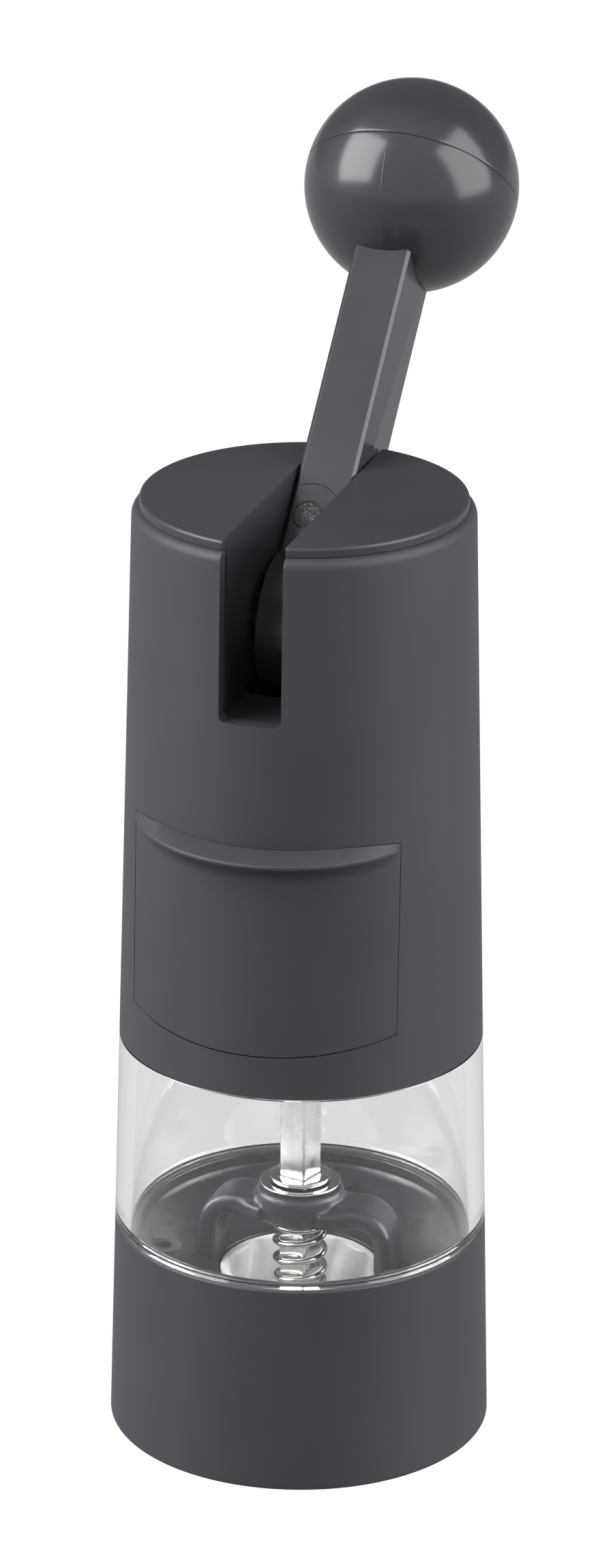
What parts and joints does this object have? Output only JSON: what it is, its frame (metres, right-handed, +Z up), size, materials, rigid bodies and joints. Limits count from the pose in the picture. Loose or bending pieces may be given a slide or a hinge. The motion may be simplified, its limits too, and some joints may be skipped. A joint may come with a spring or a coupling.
{
  "type": "lever pepper mill",
  "caption": "Upright pepper mill with a tapered dark body, a clear reservoir band, a hinged fill door and a ball-ended lever that swings in a slot through its top.",
  "frame": {"origin": "centre of the foot, on the plane that the mill stands on", "axes": "+Z up the mill's axis; the front, with the fill door, faces -Y; the lever swings in the plane X = 0 and leans back towards +Y at rest"},
  "size_m": [0.057, 0.0974, 0.1937],
  "materials": {
    "charcoal_plastic": "satin",
    "carrier_plastic": "semi-gloss",
    "ball_plastic": "polished",
    "clear_plastic": "clear, polished",
    "brushed_steel": "bright",
    "natural_nylon": "natural nylon",
    "ceramic": "white ceramic"
  },
  "bodies": {
    "housing": {"base_housing": "charcoal_plastic", "burr_carrier": "carrier_plastic", "reservoir": "clear_plastic", "outer_shell": "charcoal_plastic", "top_cap": "charcoal_plastic", "cap_screw_1": "brushed_steel", "cap_screw_2": "brushed_steel", "cap_screw_3": "brushed_steel", "cap_screw_4": "brushed_steel", "door_hinge_pin": "brushed_steel", "hinge_bracket": "charcoal_plastic", "right_ratchet_spring": "brushed_steel", "left_ratchet_spring": "brushed_steel", "pivot_pin": "brushed_steel", "gear_frame": "natural_nylon", "shaft_bushing": "natural_nylon", "bridge_washer": "brushed_steel", "burr_spring": "brushed_steel", "ceramic_stator": "ceramic", "knob_spider": "natural_nylon", "base_screw_1": "brushed_steel", "base_screw_2": "brushed_steel", "base_screw_3": "brushed_steel"},
    "lever": {"lever_arm": "charcoal_plastic", "ball_knob": "ball_plastic", "ball_cap": "ball_plastic"},
    "right_gear": {"right_ratchet_gear": "natural_nylon"},
    "left_gear": {"left_ratchet_gear": "natural_nylon"},
    "drive": {"bevel_pinion": "natural_nylon", "drive_shaft": "brushed_steel", "shaft_clip": "brushed_steel"},
    "lift": {"thrust_washer": "brushed_steel"},
    "rotor": {"ceramic_rotor": "ceramic"},
    "knob": {"adjust_knob": "charcoal_plastic"},
    "door": {"fill_door": "charcoal_plastic"}
  },
  "joints": [
    {"name": "lever_swing", "type": "hinge", "parent": "housing", "child": "lever", "pos_m": [0, 0, 0.126], "axis": [1, 0, 0], "range_deg": [-43, 133]},
    {"name": "right_gear_spin", "type": "hinge", "parent": "housing", "child": "right_gear", "pos_m": [0, 0, 0.126], "axis": [1, 0, 0], "range_deg": [-45, 135]},
    {"name": "left_gear_spin", "type": "hinge", "parent": "housing", "child": "left_gear", "pos_m": [0, 0, 0.126], "axis": [1, 0, 0], "range_deg": [-135, 45]},
    {"name": "drive_spin", "type": "hinge", "parent": "housing", "child": "drive", "pos_m": [0, 0, 0.11], "axis": [0, 0, 1], "range_deg": [-66, 201]},
    {"name": "rotor_lift", "type": "slide", "parent": "housing", "child": "lift", "axis": [0, 0, 1], "range_m": [0, 0.0008], "deforming": ["burr_spring"]},
    {"name": "rotor_spin", "type": "hinge", "parent": "lift", "child": "rotor", "pos_m": [0, 0, 0.017], "axis": [0, 0, 1], "range_deg": [-66, 201]},
    {"name": "knob_turn", "type": "hinge", "parent": "lift", "child": "knob", "pos_m": [0, 0, 0.002], "axis": [0, 0, 1], "range_deg": [0, 270]},
    {"name": "door_swing", "type": "hinge", "parent": "housing", "child": "door", "pos_m": [0, -0.02228, 0.0736], "axis": [1, 0, 0], "range_deg": [0, 35]}
  ],
  "couplings": [
    {"joint": "right_gear_spin", "follows": "lever_swing", "ratio": 1},
    {"joint": "left_gear_spin", "follows": "lever_swing", "ratio": -1},
    {"joint": "drive_spin", "follows": "lever_swing", "ratio": 1.5},
    {"joint": "rotor_spin", "follows": "lever_swing", "ratio": 1.5},
    {"joint": "rotor_lift", "follows": "knob_turn", "m_per_rad": 0.000159}
  ]
}
